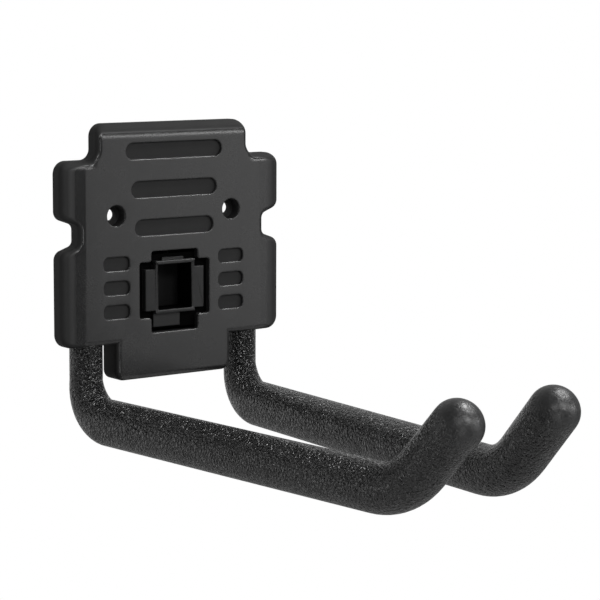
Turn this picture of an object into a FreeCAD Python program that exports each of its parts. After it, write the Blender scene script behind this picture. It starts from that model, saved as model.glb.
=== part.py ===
import FreeCAD, Part
import math
import os

import Sketcher

# Wall hook for a garage: a moulded cover plate, a bent steel frame with two
# soft grips on it, and a spring lock in the middle of the plate.
# Millimetres, +Z up, the wall is the plane Y = 0 and the front looks to -Y.
# The origin is on the wall, midway between the two screw holes.

os.makedirs("parts", exist_ok=True)
doc = FreeCAD.newDocument("utility_hook")
sheet = doc.addObject("Spreadsheet::Sheet", "sizes")


class Size(float):
    """A number that also knows the expression it came from."""

    def __new__(cls, value, text):
        size = float.__new__(cls, value)
        size.text = text
        return size

    def _joined(self, other, sign, value, swapped=False):
        mine = self.text
        theirs = other.text if isinstance(other, Size) else repr(float(other))
        first, second = (theirs, mine) if swapped else (mine, theirs)
        return Size(value, "(%s %s %s)" % (first, sign, second))

    def __add__(self, other):
        return self._joined(other, "+", float(self) + float(other))

    def __radd__(self, other):
        return self._joined(other, "+", float(other) + float(self), True)

    def __sub__(self, other):
        return self._joined(other, "-", float(self) - float(other))

    def __rsub__(self, other):
        return self._joined(other, "-", float(other) - float(self), True)

    def __mul__(self, other):
        return self._joined(other, "*", float(self) * float(other))

    def __rmul__(self, other):
        return self._joined(other, "*", float(other) * float(self), True)

    def __truediv__(self, other):
        return self._joined(other, "/", float(self) / float(other))

    def __neg__(self):
        return Size(-float(self), "(0 - %s)" % self.text)


row = [0]

# Points nearer than this are taken as one when edges are looked for
CLOSE = 0.05


def size(alias, value, note):
    """Write one driving dimension to the sheet and return it as a Size."""
    row[0] += 1
    sheet.set("A%d" % row[0], alias)
    sheet.set("B%d" % row[0], str(value))
    sheet.set("C%d" % row[0], note)
    sheet.setAlias("B%d" % row[0], alias)
    return Size(value, "sizes.%s" % alias)


# Cover plate outline, seen from the front
plate_front = size("plate_front", 18.0, "front face to wall")
skirt_depth = size("skirt_depth", 8.0, "depth of the side walls")
wall = size("wall", 2.8, "wall of the moulding")
head_half = size("head_half", 41.8, "half width of the head")
head_top = size("head_top", 42.1, "top edge above the screw line")
wing_half = size("wing_half", 60.8, "half width over the wings")
shoulder_level = size("shoulder_level", 25.7, "shoulder above the screw line")
notch_level = size("notch_level", -8.2, "middle of the side notches")
notch_mouth = size("notch_mouth", 15.9, "height of a notch at its mouth")
notch_floor = size("notch_floor", 9.2, "height of a notch at its floor")
notch_depth = size("notch_depth", 9.5, "depth of a side notch")
wing_bottom = size("wing_bottom", -59.5, "lower edge of the wings")
tongue_gap = size("tongue_gap", 11.5, "leg axis to the side of the tongue")
tongue_bottom = size("tongue_bottom", -76.9, "lower edge of the tongue")
outer_corner = size("outer_corner", 6.0, "radius of the outline's outer corners")
inner_corner = size("inner_corner", 5.0, "radius of the shoulder's inner corners")
notch_corner = size("notch_corner", 3.0, "radius in the floor of a notch")
lip_corner = size("lip_corner", 4.5, "radius at the mouth of a notch")
rim_round = size("rim_round", 2.6, "rounding of the front edge")
window_corner = size("window_corner", 1.2, "corner radius of the window")
band_width = size("band_width", 12.5, "width of the curved part of a wing")
band_radius = size("band_radius", 62.0, "radius of the wings' curve")

# Recesses, screw holes and window in the front face
recess_depth = size("recess_depth", 1.3, "depth of the slots")
slot_height = size("slot_height", 7.6, "height of the long slots")
slot_pitch = size("slot_pitch", 17.8, "spacing of the long slots")
slot_level = size("slot_level", 29.2, "middle of the top slot")
slot_half_top = size("slot_half_top", 26.5, "half length of the top slot")
slot_half_mid = size("slot_half_mid", 23.6, "half length of the middle slot")
slot_half_low = size("slot_half_low", 21.7, "half length of the low slot")
vent_centre = size("vent_centre", 31.9, "centre line to the short slots")
vent_length = size("vent_length", 13.9, "length of a short slot")
vent_height = size("vent_height", 6.4, "height of a short slot")
vent_corner = size("vent_corner", 2.5, "end radius of a short slot")
vent_level = size("vent_level", -22.2, "middle of the top short slot")
vent_pitch = size("vent_pitch", 11.1, "spacing of the short slots")
screw_spacing = size("screw_spacing", 64.0, "spacing of the wall screws")
screw_bore = size("screw_bore", 5.4, "hole for a wall screw")
head_bore = size("head_bore", 9.6, "recess for a screw head")
head_depth = size("head_depth", 5.6, "depth of the screw head recess")
seat_floor = size("seat_floor", 2.4, "floor under the screw head")
window_half = size("window_half", 19.4, "half width of the window")
window_top = size("window_top", -22.5, "top of the window's wide part")
window_low = size("window_low", -48.6, "bottom of the window's wide part")
step_half = size("step_half", 12.9, "half width of the window's steps")
step_top = size("step_top", -17.6, "top of the upper step")
step_low = size("step_low", -55.7, "bottom of the lower step")

# Steel frame and its grips
leg_inset = size("leg_inset", 17.3, "side of the plate to a leg's axis")
leg_setback = size("leg_setback", 9.2, "leg axis to wall")
rod_size = size("rod_size", 12.0, "steel rod diameter")
arm_level = size("arm_level", -93.5, "arm axis below the screw line")
bend_reach = size("bend_reach", 210.0, "leg axis to the corner of the front bend")
toe_in = size("toe_in", 4.4, "turn of each arm towards the other")
tip_angle = size("tip_angle", 46.9, "rise of the tips")
tip_length = size("tip_length", 53.0, "corner of the front bend to the tip")
elbow_radius = size("elbow_radius", 17.5, "bend radius under the plate")
front_radius = size("front_radius", 36.0, "bend radius at the front")
leg_grip = size("leg_grip", 15.4, "grip diameter on the legs")
arm_grip = size("arm_grip", 21.4, "grip diameter on the arms")
tip_round = size("tip_round", 9.8, "rounding of the tips")
tip_cover = size("tip_cover", 7.0, "grip beyond the end of the rod")
rod_top = size("rod_top", 19.5, "upper end of the rods")
grip_entry = size("grip_entry", 4.0, "grip inside the plate")
crossbar_height = size("crossbar_height", 11.0, "height of the cross bar")
crossbar_depth = size("crossbar_depth", 5.0, "thickness of the cross bar")
crossbar_level = size("crossbar_level", 14.0, "middle of the cross bar")
running_gap = size("running_gap", 0.3, "clearance round what moves or passes")

# Spring lock
lock_proud = size("lock_proud", 0.8, "lock in front of the plate")
finger_half = size("finger_half", 9.3, "half width of the finger opening")
finger_top = size("finger_top", -23.9, "top of the finger opening")
finger_low = size("finger_low", -45.2, "bottom of the finger opening")
collar_wall = size("collar_wall", 1.7, "wall of the finger opening")
cheek_half = size("cheek_half", 16.3, "half width over the cheeks")
cheek_top = size("cheek_top", -26.0, "top of the cheeks")
cheek_low = size("cheek_low", -45.4, "bottom of the cheeks")
flange_half = size("flange_half", 21.6, "half width of the lock's flange")
flange_top = size("flange_top", -19.4, "top of the flange")
flange_low = size("flange_low", -54.2, "bottom of the flange")
flange_thick = size("flange_thick", 2.4, "thickness of the flange")
travel = size("travel", 3.0, "upward travel of the lock")
chamber_back = size("chamber_back", 6.0, "back of the lock chamber to wall")
chamber_top = size("chamber_top", -10.9, "top of the lock chamber")
chamber_wall = size("chamber_wall", 1.8, "wall of the lock chamber")
keeper_thick = size("keeper_thick", 2.0, "thickness of the keeper")
keeper_half = size("keeper_half", 29.5, "half width of the keeper")
keeper_margin = size("keeper_margin", 2.4, "keeper beyond the chamber")
nose_half = size("nose_half", 6.0, "half width of the latch nose")
nose_height = size("nose_height", 4.0, "height of the latch nose")
nose_drop = size("nose_drop", 2.0, "collar to the nose below it")
nose_reach = size("nose_reach", 1.0, "nose to wall")
lock_round = size("lock_round", 0.5, "rounding of the lock's front edges")
tab_front = size("tab_front", 16.2, "front of the press tab to wall")
tab_half = size("tab_half", 7.4, "half width of the press tab")
tab_height = size("tab_height", 6.4, "height of the press tab")
tab_offset = size("tab_offset", -3.6, "press tab from the centre line")
spring_size = size("spring_size", 4.6, "spring diameter")
spring_wire = size("spring_wire", 0.8, "spring wire")
spring_turns = size("spring_turns", 4.5, "turns of the spring")

# Clamps and small screws
clamp_level = size("clamp_level", -42.0, "middle of the clamps")
clamp_height = size("clamp_height", 12.0, "height of the clamps")
clamp_thick = size("clamp_thick", 2.0, "thickness of the clamps")
clamp_reach = size("clamp_reach", 9.9, "rod axis to a clamp screw")
clamp_ear = size("clamp_ear", 3.2, "clamp beyond its screw")
boss_size = size("boss_size", 6.0, "boss diameter")
pilot_size = size("pilot_size", 2.4, "screw thread diameter")
screw_head = size("screw_head", 4.0, "small screw head diameter")
screw_head_thick = size("screw_head_thick", 1.6, "small screw head height")
screw_length = size("screw_length", 8.0, "small screw length under the head")
screw_inset = size("screw_inset", 2.9, "keeper edge to its screws")
rib_thick = size("rib_thick", 1.8, "thickness of the ribs")
rib_height = size("rib_height", 2.8, "height of the ribs")
rib_spread = size("rib_spread", 14.0, "centre line to the upright ribs")
saddle_thick = size("saddle_thick", 4.0, "thickness of the rod saddles")
saddle_side = size("saddle_side", 1.4, "saddle beside the rod")
snug = size("snug", 0.1, "clearance of parts that are fastened together")
cup_wall = size("cup_wall", 1.8, "wall of the screw head cups")
foot_size = size("foot_size", 8.0, "diameter of the feet on the wall")
foot_spread_top = size("foot_spread_top", 31.0, "centre line to the upper feet")
foot_spread_low = size("foot_spread_low", 21.0, "centre line to the lower feet")
foot_level_top = size("foot_level_top", 31.0, "level of the upper feet")
foot_level_low = size("foot_level_low", -68.5, "level of the lower feet")
rail_hook_half = size("rail_hook_half", 20.0, "half length of the rail hook")
rail_hook_top = size("rail_hook_top", 37.0, "top of the rail hook")
rail_hook_thick = size("rail_hook_thick", 2.2, "thickness of the rail hook")
rail_hook_drop = size("rail_hook_drop", 5.5, "height of the rail hook's lip")
rail_hook_gap = size("rail_hook_gap", 0.8, "rail hook to wall")

doc.recompute()

notch_half = wing_half - notch_depth
band_start = wing_half - band_width
arm_half = wing_half - leg_inset
tongue_half = arm_half - tongue_gap
front_inside = plate_front - wall
rim_level = plate_front - skirt_depth
seat_level = plate_front - head_depth
lock_front = plate_front + lock_proud
flange_front = front_inside - running_gap
flange_back = flange_front - flange_thick
chamber_half = flange_half + running_gap
chamber_low = step_low - running_gap
collar_half = finger_half + collar_wall
collar_top = finger_top + collar_wall
collar_low = finger_low - collar_wall
crest_top = step_top - travel - running_gap
nose_low = collar_low - nose_drop - nose_height
keeper_back = chamber_back - keeper_thick
keeper_top = chamber_top + chamber_wall + keeper_margin
keeper_low = chamber_low - chamber_wall - keeper_margin
keeper_screw = keeper_half - screw_inset
clamp_back = leg_setback - clamp_thick


def bind(item, name, amount):
    """Set a property to a Size and bind it to the sheet."""
    item.setExpression(name, amount.text)


def plane_of(body, role):
    """The origin plane of a body, found by its role."""
    for feature in body.Origin.OriginFeatures:
        if feature.Role == role:
            return feature
    raise RuntimeError("no plane " + role)


def new_body(label):
    body = doc.addObject("PartDesign::Body", label)
    body.Label = label
    return body


def new_sketch(body, name, role, offset=None):
    """A sketch on one of the body's planes, moved along its normal."""
    sketch = body.newObject("Sketcher::SketchObject", name)
    sketch.AttachmentSupport = [(plane_of(body, role), "")]
    sketch.MapMode = "FlatFace"
    if offset is not None:
        bind(sketch, ".AttachmentOffset.Base.z", offset)
    return sketch


def turned_sketch(body, name, role, base, side):
    """A sketch on a plane that stands at base and is turned by the toe-in."""
    sketch = new_sketch(body, name, role)
    sketch.AttachmentOffset = FreeCAD.Placement(
        FreeCAD.Vector(*[float(amount) for amount in base]),
        FreeCAD.Rotation(FreeCAD.Vector(0, -side, 0), float(toe_in)))
    for letter, amount in zip("xyz", base):
        if isinstance(amount, Size):
            bind(sketch, ".AttachmentOffset.Base." + letter, amount)
    sketch.setExpression(".AttachmentOffset.Rotation.Angle", toe_in.text + " * 1 deg")
    return sketch


def place_point(sketch, geometry, vertex, across, up):
    """Hold one vertex at its place from the sketch's origin."""
    for kind, amount, axis in (("DistanceX", across, -2), ("DistanceY", up, -1)):
        if isinstance(amount, Size):
            index = sketch.addConstraint(
                Sketcher.Constraint(kind, -1, 1, geometry, vertex, float(amount)))
            bind(sketch, "Constraints[%d]" % index, amount)
        else:
            sketch.addConstraint(
                Sketcher.Constraint("PointOnObject", geometry, vertex, axis))


def draw_polygon(sketch, corners):
    """A closed outline through corners, each tied to the sheet."""
    first = sketch.GeometryCount
    count = len(corners)
    for k in range(count):
        here = corners[k]
        after = corners[(k + 1) % count]
        sketch.addGeometry(Part.LineSegment(
            FreeCAD.Vector(float(here[0]), float(here[1]), 0),
            FreeCAD.Vector(float(after[0]), float(after[1]), 0)))
    for k in range(count):
        sketch.addConstraint(Sketcher.Constraint(
            "Coincident", first + k, 2, first + (k + 1) % count, 1))
    for k in range(count):
        place_point(sketch, first + k, 1, corners[k][0], corners[k][1])


def draw_box(sketch, left, right, low, top):
    draw_polygon(sketch, [(left, low), (right, low), (right, top), (left, top)])


def draw_circle(sketch, across, up, radius):
    index = sketch.addGeometry(Part.Circle(
        FreeCAD.Vector(float(across), float(up), 0),
        FreeCAD.Vector(0, 0, 1), float(radius)))
    place_point(sketch, index, 3, across, up)
    held = sketch.addConstraint(Sketcher.Constraint("Radius", index, float(radius)))
    bind(sketch, "Constraints[%d]" % held, radius)


def pad(body, name, sketch, length, reverse=False):
    feature = body.newObject("PartDesign::Pad", name)
    feature.Profile = sketch
    bind(feature, "Length", length)
    feature.Reversed = reverse
    feature.Refine = False
    doc.recompute()
    return feature


def cosine(angle):
    return Size(math.cos(math.radians(angle)), "cos(%s * 1 deg)" % angle.text)


def sine(angle):
    return Size(math.sin(math.radians(angle)), "sin(%s * 1 deg)" % angle.text)


def pocket(body, name, sketch, length, reverse=False):
    """Cut a sketch into the body and make sure that it took material away."""
    before = body.Shape.Volume
    feature = body.newObject("PartDesign::Pocket", name)
    feature.Profile = sketch
    bind(feature, "Length", length)
    feature.Reversed = reverse
    feature.Refine = False
    doc.recompute()
    if body.Shape.Volume > before - CLOSE:
        raise RuntimeError(name + " cuts nothing")
    return feature


def round_edges(body, name, radius, wanted):
    """Fillet each edge of the body for which wanted(edge) is true."""
    base = body.Tip
    picked = []
    for number, edge in enumerate(base.Shape.Edges, 1):
        if wanted(edge):
            picked.append("Edge%d" % number)
    if not picked:
        raise RuntimeError(name + " finds no edge")
    feature = body.newObject("PartDesign::Fillet", name)
    feature.Base = (base, picked)
    bind(feature, "Radius", radius)
    doc.recompute()
    return feature


def mirrored(half):
    """A whole outline from its right half, which runs from top to bottom."""
    return half + [(-x, z) for x, z in reversed(half)]


def plate_half(inset):
    """Right half of the plate's outline, moved inwards by inset."""
    mouth = notch_mouth / 2 + inset
    floor = notch_floor / 2 + inset
    return [
        (head_half - inset, head_top - inset),
        (head_half - inset, shoulder_level - inset),
        (wing_half - inset, shoulder_level - inset),
        (wing_half - inset, notch_level + mouth),
        (notch_half - inset, notch_level + floor),
        (notch_half - inset, notch_level - floor),
        (wing_half - inset, notch_level - mouth),
        (wing_half - inset, wing_bottom + inset),
        (tongue_half - inset, wing_bottom + inset),
        (tongue_half - inset, tongue_bottom + inset),
    ]


def at_corner(edge, across, up):
    """True for an edge along Y that stands at one corner of the outline."""
    ends = [vertex.Point for vertex in edge.Vertexes]
    if len(ends) < 2 or abs(ends[0].x - ends[1].x) > CLOSE:
        return False
    return all(abs(abs(p.x) - across) < CLOSE and abs(p.z - up) < CLOSE for p in ends)


def round_outline(body, inset):
    """Round the upright corners of a padded plate outline."""
    half = plate_half(inset)
    groups = [
        ("outer", outer_corner, [0, 2, 7]),
        ("shoulder", inner_corner, [1]),
        ("mouth", lip_corner, [3, 6]),
        ("floor", notch_corner, [4, 5]),
        ("tongue", lip_corner, [9]),
    ]
    for name, radius, members in groups:
        spots = [(float(half[k][0]), float(half[k][1])) for k in members]
        round_edges(body, "round_" + name, radius, lambda edge: any(
            at_corner(edge, across, up) for across, up in spots))


def curve_wings(body, inset):
    """Let the wings fall back along an arc towards their outer sides."""
    radius = band_radius - inset
    centre = plate_front - band_radius
    margin = wing_half + wall
    beyond = plate_front + wall
    lean = math.asin(float(margin - band_start) / float(radius))
    for side in (1, -1):
        sketch = new_sketch(body, "wing_curve", "XY_Plane", tongue_bottom - wall)
        top = FreeCAD.Vector(side * float(band_start), -float(plate_front - inset), 0)
        middle = FreeCAD.Vector(side * float(band_start), -float(centre), 0)
        start = -math.pi / 2 if side > 0 else -math.pi / 2 - lean
        sketch.addGeometry(Part.ArcOfCircle(
            Part.Circle(middle, FreeCAD.Vector(0, 0, 1), float(radius)),
            start, start + lean))
        inner, outer = (1, 2) if side > 0 else (2, 1)
        low = FreeCAD.Vector(side * float(margin),
                             -float(centre) - float(radius) * math.cos(lean), 0)
        far_top = FreeCAD.Vector(low.x, -float(beyond), 0)
        near_top = FreeCAD.Vector(top.x, far_top.y, 0)
        sketch.addGeometry(Part.LineSegment(low, far_top))
        sketch.addGeometry(Part.LineSegment(far_top, near_top))
        sketch.addGeometry(Part.LineSegment(near_top, top))
        join = Sketcher.Constraint
        sketch.addConstraint(join("Coincident", 0, outer, 1, 1))
        sketch.addConstraint(join("Coincident", 1, 2, 2, 1))
        sketch.addConstraint(join("Coincident", 2, 2, 3, 1))
        sketch.addConstraint(join("Coincident", 3, 2, 0, inner))
        place_point(sketch, 0, 3, band_start * side, -centre)
        place_point(sketch, 0, inner, band_start * side, -(plate_front - inset))
        held = sketch.addConstraint(
            join("DistanceX", -1, 1, 0, outer, side * float(margin)))
        bind(sketch, "Constraints[%d]" % held, margin * side)
        place_point(sketch, 1, 2, margin * side, -beyond)
        place_point(sketch, 2, 2, band_start * side, -beyond)
        pocket(body, "wing_cut", sketch, head_top - tongue_bottom + wall * 2, True)


def deepen_tongue(body, inset, back, top):
    """The tongue's wall reaches further back than the rest of the skirt."""
    sketch = new_sketch(body, "tongue_sketch", "XZ_Plane", back)
    half = tongue_half - inset
    draw_box(sketch, -half, half, tongue_bottom + inset, top)
    pad(body, "tongue_pad", sketch, rim_level - chamber_back)


# Hollow of the plate, cut from it further down
hollow = new_body("hollow")
outline = new_sketch(hollow, "hollow_outline", "XZ_Plane", rim_level - wall)
draw_polygon(outline, mirrored(plate_half(wall)))
pad(hollow, "hollow_pad", outline, skirt_depth)
deepen_tongue(hollow, wall, chamber_back - wall, wing_bottom + wall * 2)
round_outline(hollow, wall)
curve_wings(hollow, wall)

# Cover plate
plate = new_body("front_plate")
outline = new_sketch(plate, "outline", "XZ_Plane", rim_level)
draw_polygon(outline, mirrored(plate_half(0.0)))
pad(plate, "plate_pad", outline, skirt_depth)
deepen_tongue(plate, 0.0, chamber_back, wing_bottom + wall)
round_outline(plate, 0.0)
curve_wings(plate, 0.0)


def on_rim(edge):
    """True for the edges of the front face's outline, the wings' curve too."""
    middle = edge.valueAt((edge.FirstParameter + edge.LastParameter) / 2)
    ends = [vertex.Point for vertex in edge.Vertexes]
    run = ends[-1] - ends[0]
    inside_wing = abs(abs(middle.x) - band_start) < CLOSE and abs(run.z) > CLOSE
    deep = all(point.y > -rim_level - CLOSE for point in ends)
    along_y = abs(run.y) > CLOSE and abs(run.x) < CLOSE and abs(run.z) < CLOSE
    return not inside_wing and not deep and not along_y


round_edges(plate, "round_rim", rim_round, on_rim)

cut = plate.newObject("PartDesign::Boolean", "hollow_out")
cut.Type = "Cut"
cut.setObjects([hollow])
doc.recompute()

def draw_slot(sketch, across, up, half, height, radius):
    """A lying slot with round ends or corners of the given radius."""
    low = up - height / 2
    top = up + height / 2
    left = across - half
    right = across + half
    full = float(radius) > float(height) / 2 - CLOSE
    if full:
        radius = height / 2
    turns = [(right, low, -1, 1, 270), (right, top, -1, -1, 0),
             (left, top, 1, -1, 90), (left, low, 1, 1, 180)]
    arcs = []
    lines = []
    for x, z, step_x, step_z, start in turns:
        centre = FreeCAD.Vector(float(x) + step_x * radius, float(z) + step_z * radius, 0)
        arcs.append(sketch.addGeometry(Part.ArcOfCircle(
            Part.Circle(centre, FreeCAD.Vector(0, 0, 1), float(radius)),
            math.radians(start), math.radians(start + 90))))
    for k in range(4):
        if full and k % 2 == 0:
            lines.append(None)
            continue
        first = sketch.Geometry[arcs[k]].EndPoint
        second = sketch.Geometry[arcs[(k + 1) % 4]].StartPoint
        lines.append(sketch.addGeometry(Part.LineSegment(first, second)))
    for k in range(4):
        after = arcs[(k + 1) % 4]
        if lines[k] is None:
            sketch.addConstraint(Sketcher.Constraint("Tangent", arcs[k], 2, after, 1))
            continue
        sketch.addConstraint(Sketcher.Constraint("Tangent", arcs[k], 2, lines[k], 1))
        sketch.addConstraint(Sketcher.Constraint("Tangent", lines[k], 2, after, 1))
    held = sketch.addConstraint(Sketcher.Constraint("Radius", arcs[0], float(radius)))
    bind(sketch, "Constraints[%d]" % held, radius)
    if not full:
        for k in (1, 2, 3):
            sketch.addConstraint(Sketcher.Constraint("Equal", arcs[0], arcs[k]))
        place_point(sketch, arcs[0], 3, right - radius, low + radius)
        place_point(sketch, arcs[2], 3, left + radius, top - radius)
        sketch.addConstraint(Sketcher.Constraint("Horizontal", lines[1]))
    else:
        sketch.addConstraint(Sketcher.Constraint("Equal", arcs[0], arcs[2]))
        place_point(sketch, arcs[0], 3, right - radius, up)
        place_point(sketch, arcs[2], 3, left + radius, up)


# Slots in the front face
for name, half, number in (("top", slot_half_top, 0), ("mid", slot_half_mid, 1),
                           ("low", slot_half_low, 2)):
    sketch = new_sketch(plate, "slot_sketch_" + name, "XZ_Plane", plate_front)
    draw_slot(sketch, 0.0, slot_level - slot_pitch * number, half, slot_height,
              slot_height / 2)
    pocket(plate, "slot_" + name, sketch, recess_depth)
sketch = new_sketch(plate, "vent_sketch", "XZ_Plane", plate_front)
for number in range(3):
    for side in (1, -1):
        draw_slot(sketch, vent_centre * side, vent_level - vent_pitch * number,
                  vent_length / 2, vent_height, vent_corner)
pocket(plate, "vents", sketch, recess_depth)


def window_cross(grow):
    """The cross-shaped window of the plate, made larger by grow."""
    half = [
        (step_half + grow, step_top + grow),
        (step_half + grow, window_top + grow),
        (window_half + grow, window_top + grow),
        (window_half + grow, window_low - grow),
        (step_half + grow, window_low - grow),
        (step_half + grow, step_low - grow),
    ]
    return mirrored(half)


# Inside the plate: cups for the wall screws, lock chamber, bosses and ribs
sketch = new_sketch(plate, "cup_sketch", "XZ_Plane", seat_level - seat_floor)
for side in (1, -1):
    draw_circle(sketch, screw_spacing / 2 * side, 0.0, head_bore / 2 + cup_wall)
pad(plate, "cups", sketch, head_depth + seat_floor - wall / 2)

sketch = new_sketch(plate, "chamber_sketch", "XZ_Plane", chamber_back)
draw_box(sketch, -(chamber_half + chamber_wall), chamber_half + chamber_wall,
         chamber_low - chamber_wall, chamber_top + chamber_wall)
draw_box(sketch, -chamber_half, chamber_half, chamber_low, chamber_top)
pad(plate, "chamber", sketch, front_inside - chamber_back + wall / 2)

sketch = new_sketch(plate, "keeper_boss_sketch", "XZ_Plane", chamber_back)
for across in (keeper_screw, -keeper_screw):
    for up in (keeper_top - screw_inset, keeper_low + screw_inset):
        draw_circle(sketch, across, up, boss_size / 2)
pad(plate, "keeper_bosses", sketch, front_inside - chamber_back + wall / 2)

sketch = new_sketch(plate, "clamp_boss_sketch", "XZ_Plane", leg_setback)
for side in (1, -1):
    for reach in (clamp_reach, -clamp_reach):
        draw_circle(sketch, (arm_half + reach) * side, clamp_level, boss_size / 2)
pad(plate, "clamp_bosses", sketch, front_inside - leg_setback)

saddle_levels = [
    ("low", clamp_level),
    ("high", crossbar_level - crossbar_height),
]
saddle_half = rod_size / 2 + saddle_side
for name, level in saddle_levels:
    sketch = new_sketch(plate, "saddle_sketch_" + name, "XZ_Plane", leg_setback)
    for side in (1, -1):
        near = (arm_half - saddle_half) * side
        far = (arm_half + saddle_half) * side
        draw_box(sketch, near, far, level - saddle_thick / 2, level + saddle_thick / 2)
    pad(plate, "saddle_" + name, sketch, front_inside - leg_setback)

sketch = new_sketch(plate, "rib_sketch", "XZ_Plane", front_inside - rib_height)
for side in (1, -1):
    near = (rib_spread - rib_thick / 2) * side
    far = (rib_spread + rib_thick / 2) * side
    draw_box(sketch, near, far, chamber_top + chamber_wall / 2, head_top - wall / 2)
    draw_box(sketch, near, far, tongue_bottom + wall / 2, chamber_low - chamber_wall / 2)
pad(plate, "ribs", sketch, rib_height + wall / 2)

sketch = new_sketch(plate, "foot_sketch", "XZ_Plane")
for side in (1, -1):
    draw_circle(sketch, foot_spread_top * side, foot_level_top, foot_size / 2)
    draw_circle(sketch, foot_spread_low * side, foot_level_low, foot_size / 2)
draw_circle(sketch, 0.0, 0.0, foot_size / 2)
pad(plate, "feet", sketch, front_inside + wall / 2)

sketch = new_sketch(plate, "rail_hook_sketch", "YZ_Plane", -rail_hook_half)
hook_low = rail_hook_top - rail_hook_drop
hook_under = rail_hook_top - rail_hook_thick
draw_polygon(sketch, [
    (-front_inside - wall / 2, rail_hook_top),
    (-rail_hook_gap, rail_hook_top),
    (-rail_hook_gap, hook_low),
    (-rail_hook_gap - rail_hook_thick, hook_low),
    (-rail_hook_gap - rail_hook_thick, hook_under),
    (-front_inside - wall / 2, hook_under),
])
pad(plate, "rail_hook", sketch, rail_hook_half * 2)

# Openings through the plate
sketch = new_sketch(plate, "window_sketch", "XZ_Plane", plate_front)
draw_polygon(sketch, window_cross(0.0))
pocket(plate, "window", sketch, wall + running_gap)


def on_window(edge):
    """True for the short edges along Y in the window's corners."""
    spots = [(float(x), float(z)) for x, z in window_cross(0.0)]
    ends = [vertex.Point for vertex in edge.Vertexes]
    short = len(ends) == 2 and abs(ends[0].y - ends[1].y) < float(wall) * 2
    return short and any(at_corner(edge, abs(x), z) for x, z in spots)


round_edges(plate, "round_window", window_corner, on_window)

sketch = new_sketch(plate, "head_bore_sketch", "XZ_Plane", plate_front)
for side in (1, -1):
    draw_circle(sketch, screw_spacing / 2 * side, 0.0, head_bore / 2)
pocket(plate, "head_bores", sketch, head_depth)
sketch = new_sketch(plate, "screw_bore_sketch", "XZ_Plane", plate_front)
for side in (1, -1):
    draw_circle(sketch, screw_spacing / 2 * side, 0.0, screw_bore / 2)
pocket(plate, "screw_bores", sketch, head_depth + seat_floor + running_gap)

keeper_pilot = screw_length - keeper_thick + running_gap
sketch = new_sketch(plate, "keeper_pilot_sketch", "XZ_Plane", chamber_back)
for across in (keeper_screw, -keeper_screw):
    for up in (keeper_top - screw_inset, keeper_low + screw_inset):
        draw_circle(sketch, across, up, pilot_size / 2)
pocket(plate, "keeper_pilots", sketch, keeper_pilot, True)
clamp_pilot = screw_length - clamp_thick + running_gap
sketch = new_sketch(plate, "clamp_pilot_sketch", "XZ_Plane", leg_setback)
for side in (1, -1):
    for reach in (clamp_reach, -clamp_reach):
        draw_circle(sketch, (arm_half + reach) * side, clamp_level, pilot_size / 2)
pocket(plate, "clamp_pilots", sketch, clamp_pilot, True)

# Rods lie in the saddles, and the grips leave through notches below the wings
rod_bed = rod_size / 2 + snug
sketch = new_sketch(plate, "bed_sketch", "XY_Plane", clamp_level - saddle_thick)
for side in (1, -1):
    draw_circle(sketch, arm_half * side, -leg_setback, rod_bed)
pocket(plate, "rod_beds", sketch, rod_top - clamp_level + saddle_thick * 2, True)


def draw_arch(sketch, across, depth, radius):
    """An opening that is round to the front and open towards the wall."""
    flat = FreeCAD.Vector(float(across), -float(depth), 0)
    arc = sketch.addGeometry(Part.ArcOfCircle(
        Part.Circle(flat, FreeCAD.Vector(0, 0, 1), float(radius)), math.pi, math.pi * 2))
    right = FreeCAD.Vector(flat.x + float(radius), flat.y, 0)
    left = FreeCAD.Vector(flat.x - float(radius), flat.y, 0)
    right_end = FreeCAD.Vector(right.x, 0, 0)
    left_end = FreeCAD.Vector(left.x, 0, 0)
    up = sketch.addGeometry(Part.LineSegment(right, right_end))
    over = sketch.addGeometry(Part.LineSegment(right_end, left_end))
    down = sketch.addGeometry(Part.LineSegment(left_end, left))
    rule = Sketcher.Constraint
    sketch.addConstraint(rule("Coincident", arc, 2, up, 1))
    sketch.addConstraint(rule("Coincident", up, 2, over, 1))
    sketch.addConstraint(rule("Coincident", over, 2, down, 1))
    sketch.addConstraint(rule("Coincident", down, 2, arc, 1))
    place_point(sketch, up, 1, across + radius, -depth)
    place_point(sketch, over, 1, across + radius, 0.0)
    place_point(sketch, down, 1, across - radius, 0.0)
    place_point(sketch, down, 2, across - radius, -depth)
    held = sketch.addConstraint(rule("DistanceY", -1, 1, arc, 3, -float(depth)))
    bind(sketch, "Constraints[%d]" % held, -depth)


sketch = new_sketch(plate, "grip_sketch", "XY_Plane", wing_bottom - wall)
for side in (1, -1):
    draw_arch(sketch, arm_half * side, leg_setback, leg_grip / 2 + snug)
pocket(plate, "grip_holes", sketch, wall + grip_entry + running_gap, True)


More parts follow.
